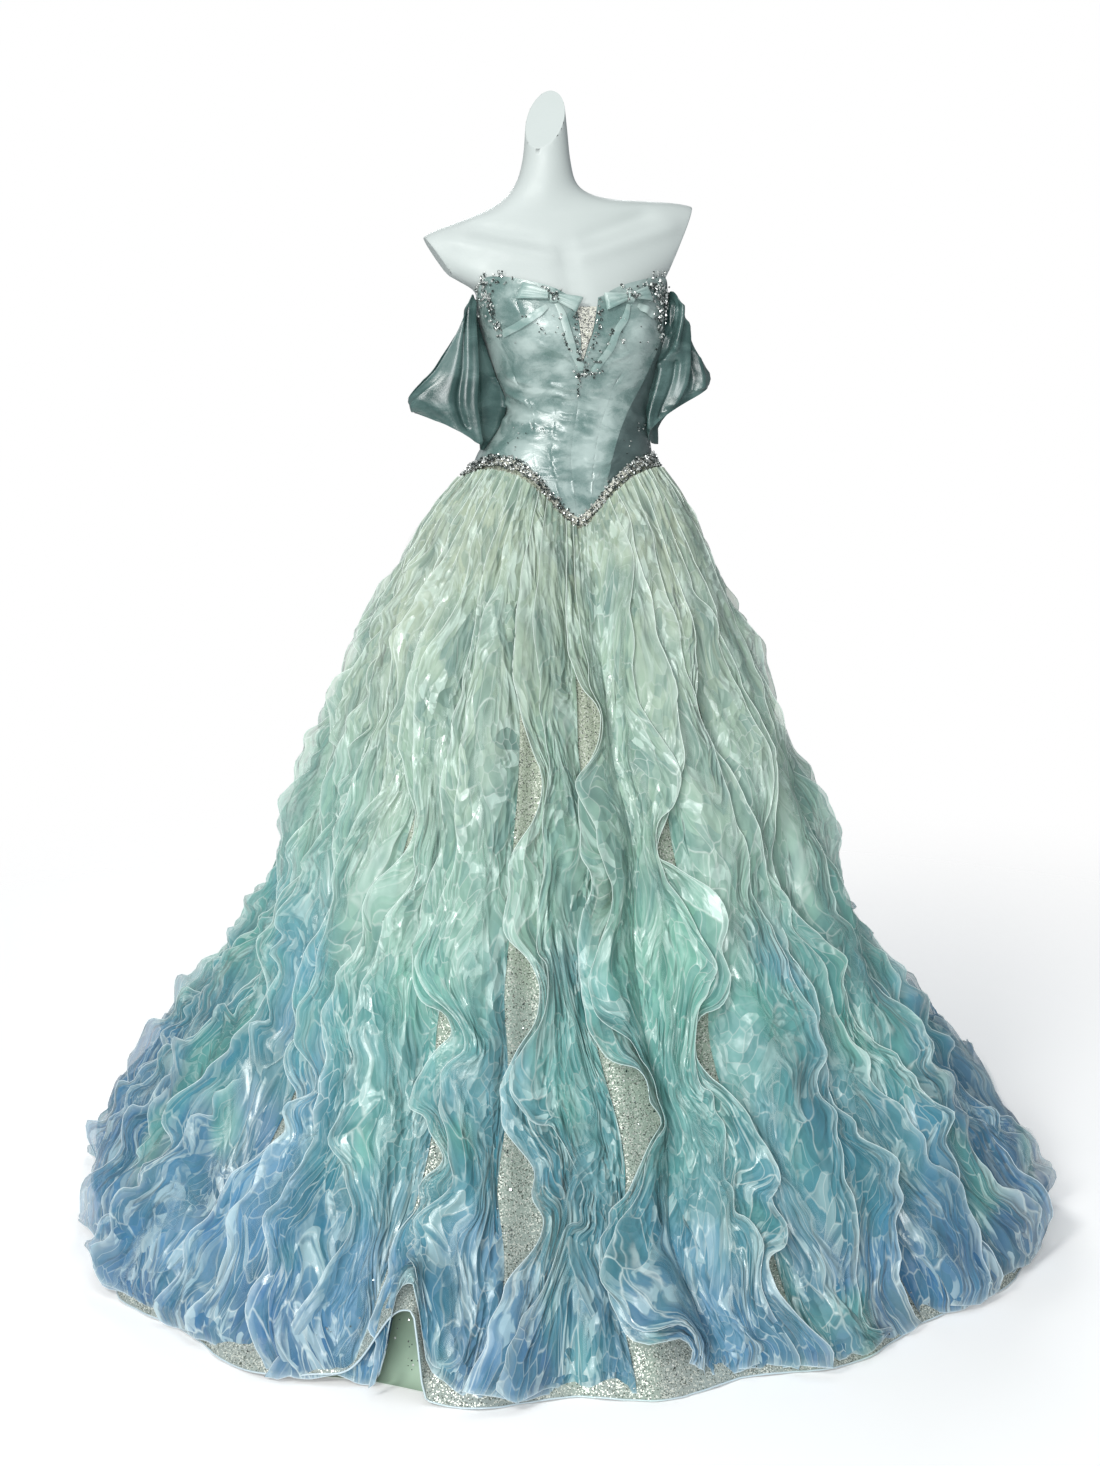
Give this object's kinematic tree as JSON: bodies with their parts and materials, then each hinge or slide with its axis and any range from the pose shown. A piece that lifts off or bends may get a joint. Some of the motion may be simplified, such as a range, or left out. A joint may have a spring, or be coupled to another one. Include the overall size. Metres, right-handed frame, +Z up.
{
  "type": "ball gown on a limbless dress form",
  "caption": "Strapless ball gown with a pointed satin bodice, empty off-shoulder sleeves and a full skirt of ruffled organza strips, worn by a limbless dress form on a round base.",
  "frame": {"origin": "centre of the underside of the stand's round base, on the floor", "axes": "+Z up, the gown faces -Y, +X towards the gown's left side; metres"},
  "size_m": [1.4413, 1.6206, 1.6284],
  "materials": {
    "satin": "lustrous pale teal duchess satin",
    "satin_dark": "lustrous deep teal satin",
    "mesh": "glitter mesh, champagne",
    "trim": "tape thickly sewn with pewter and clear beads",
    "tulle": "glitter tulle over a pale green lining",
    "organza": "crinkled shiny organza, dyed mint at the waist to blue at the hem",
    "form": "smooth matte, off-white",
    "metal": "brushed"
  },
  "bodies": {
    "root": {"form_torso": "form", "stand_pole": "metal", "stand_base": "metal", "back_zip": "satin", "bodice_back_left": "satin", "bodice_back_right": "satin", "bodice_front_left": "satin", "bodice_front_right": "satin", "bodice_side_front_left": "satin", "bodice_side_front_right": "satin", "bodice_side_left": "satin", "bodice_side_right": "satin", "bow_left_knot": "satin", "bow_left_loop_inner": "satin", "bow_left_loop_outer": "satin", "bow_left_tail_inner": "satin", "bow_left_tail_outer": "satin", "bow_right_knot": "satin", "bow_right_loop_inner": "satin", "bow_right_loop_outer": "satin", "bow_right_tail_inner": "satin", "bow_right_tail_outer": "satin", "plunge_insert": "mesh", "skirt_gore_1": "tulle", "skirt_gore_2": "tulle", "skirt_gore_3": "tulle", "skirt_gore_4": "tulle", "skirt_gore_5": "tulle", "skirt_gore_6": "tulle", "skirt_gore_7": "tulle", "skirt_gore_8": "tulle", "sleeve_left": "satin_dark", "sleeve_right": "satin_dark", "strip_left_01": "organza", "strip_left_02": "organza", "strip_left_03": "organza", "strip_left_04": "organza", "strip_left_05": "organza", "strip_left_06": "organza", "strip_left_07": "organza", "strip_left_08": "organza", "strip_left_09": "organza", "strip_left_10": "organza", "strip_left_11": "organza", "strip_left_12": "organza", "strip_left_13": "organza", "strip_right_01": "organza", "strip_right_02": "organza", "strip_right_03": "organza", "strip_right_04": "organza", "strip_right_05": "organza", "strip_right_06": "organza", "strip_right_07": "organza", "strip_right_08": "organza", "strip_right_09": "organza", "strip_right_10": "organza", "strip_right_11": "organza", "strip_right_12": "organza", "strip_right_13": "organza", "waist_trim": "trim"}
  },
  "joints": []
}
